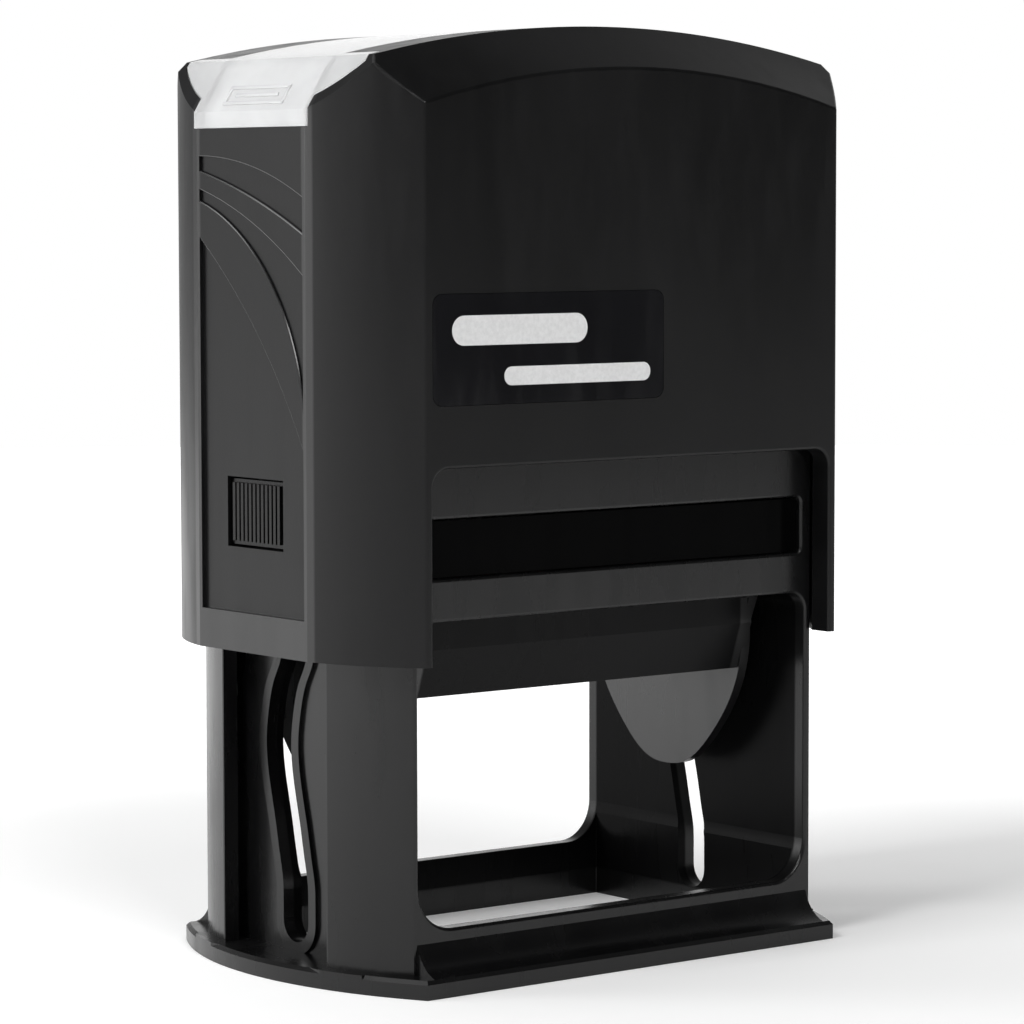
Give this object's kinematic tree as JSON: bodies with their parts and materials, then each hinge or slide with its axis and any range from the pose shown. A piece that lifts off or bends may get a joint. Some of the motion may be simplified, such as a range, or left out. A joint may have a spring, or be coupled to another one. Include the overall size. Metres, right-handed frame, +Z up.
{
  "type": "self inking stamp",
  "caption": "Self inking office stamp: an arched case slides down a columned frame and turns a rubber die over from its ink pad to the paper.",
  "frame": {"origin": "centre of the base, on the surface the stamp stands on", "axes": "+X to the right along the front face, +Y from the front to the rear, +Z up; the case slides along -Z"},
  "size_m": [0.0692, 0.045, 0.101],
  "materials": {
    "case_plastic": "black ABS, fine spark texture with a satin sheen",
    "frame_plastic": "black ABS, satin, with mould marks",
    "inner_plastic": "black acetal, satin",
    "carrier_plastic": "black ABS, satin",
    "pin_plastic": "black acetal, polished by running in the slot",
    "tray_plastic": "black polystyrene, glossy",
    "button_plastic": "black ABS, ribbed",
    "label_gloss": "glossy black plate with plain white bars",
    "clear_window": "clear moulded polystyrene",
    "holder_plastic": "white polystyrene",
    "index_paper": "white card",
    "spring_steel": "bright spring wire",
    "cushion_foam": "adhesive foam sheet",
    "die_rubber": "laser-cut stamp rubber, satin",
    "pad_foam": "foam soaked with black ink"
  },
  "bodies": {
    "frame": {"base_frame": "frame_plastic", "return_spring_left": "spring_steel", "return_spring_right": "spring_steel"},
    "case": {"case_shell": "case_plastic", "inner_yoke": "inner_plastic", "label_plate": "label_gloss", "card_holder": "holder_plastic", "index_card": "index_paper"},
    "window": {"index_window": "clear_window"},
    "carrier": {"stamp_carrier": "carrier_plastic", "guide_pin_left": "pin_plastic", "guide_pin_right": "pin_plastic", "die_plate": "inner_plastic", "die_cushion": "cushion_foam", "rubber_die": "die_rubber"},
    "pad": {"pad_tray": "tray_plastic", "ink_pad": "pad_foam"},
    "button_left": {"lock_button_left": "button_plastic"},
    "button_right": {"lock_button_right": "button_plastic"}
  },
  "joints": [
    {"name": "press_slide", "type": "slide", "parent": "frame", "child": "case", "axis": [0, 0, -1], "range_m": [0, 0.0322], "stiffness_N_per_m": 450, "springref_m": -0.012, "deforming": ["return_spring_left", "return_spring_right", "ink_pad"]},
    {"name": "carrier_flip", "type": "hinge", "parent": "case", "child": "carrier", "pos_m": [0, 0, 0.0378], "axis": [1, 0, 0], "range_deg": [0, 180]},
    {"name": "pad_slide", "type": "slide", "parent": "frame", "child": "pad", "axis": [0, 1, 0], "range_m": [-0.044, 0]},
    {"name": "button_left_press", "type": "slide", "parent": "case", "child": "button_left", "axis": [1, 0, 0], "range_m": [0, 0.001], "stiffness_N_per_m": 400, "springref_m": -0.0005},
    {"name": "button_right_press", "type": "slide", "parent": "case", "child": "button_right", "axis": [-1, 0, 0], "range_m": [0, 0.001], "stiffness_N_per_m": 400, "springref_m": -0.0005},
    {"name": "window_lift", "type": "slide", "parent": "case", "child": "window", "axis": [0, 0, 1], "range_m": [0, 0.012]}
  ],
  "couplings": [
    {"joint": "carrier_flip", "follows": "press_slide", "rad_per_m": 97.564}
  ]
}
